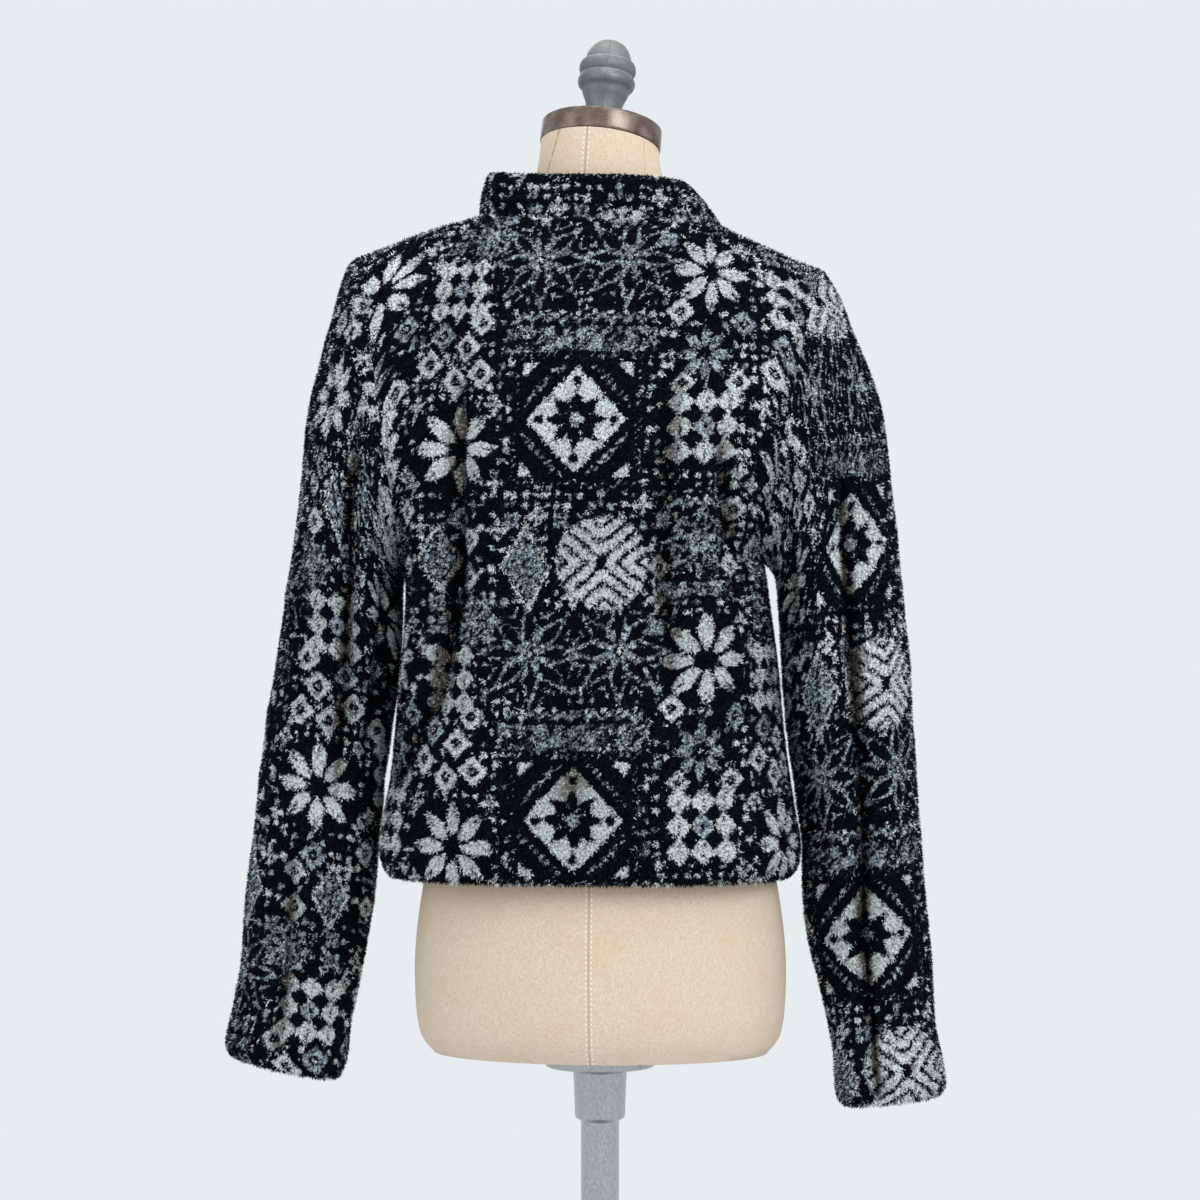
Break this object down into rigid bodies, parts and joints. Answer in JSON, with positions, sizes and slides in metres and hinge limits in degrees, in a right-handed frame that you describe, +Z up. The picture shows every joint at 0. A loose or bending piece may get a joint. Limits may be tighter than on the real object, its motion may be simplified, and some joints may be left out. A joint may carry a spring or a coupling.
{
  "type": "cardigan on dress form",
  "caption": "Boxy pile-fleece cardigan with a stand collar, set-in sleeves and plain buttons, worn on a limbless dress form with a turned finial, pole and round base.",
  "frame": {"origin": "centre of the stand's flat underside, on the floor", "axes": "+Z up; the wearer's front faces -Y and the wearer's left is +X"},
  "size_m": [0.6072, 0.38, 1.587],
  "materials": {
    "fleece": "deep curled pile in black, off-white and blue-grey, matt with a faint nap sheen",
    "button": "black resin, satin",
    "canvas": "cream cotton canvas drawn tight, matt",
    "cap_metal": "brown bronze paint, worn at the edge",
    "cast_iron": "grey cast iron, satin, slightly pitted",
    "steel": "dull steel tube"
  },
  "bodies": {
    "root": {"back": "fleece", "front_left": "fleece", "front_right": "fleece", "sleeve_left": "fleece", "sleeve_right": "fleece", "collar": "fleece", "button_1": "button", "button_2": "button", "button_3": "button", "button_4": "button", "button_5": "button", "button_6": "button", "form_torso": "canvas", "form_cap": "cap_metal", "form_finial": "cast_iron", "form_pole": "steel", "form_base": "cast_iron"}
  },
  "joints": []
}
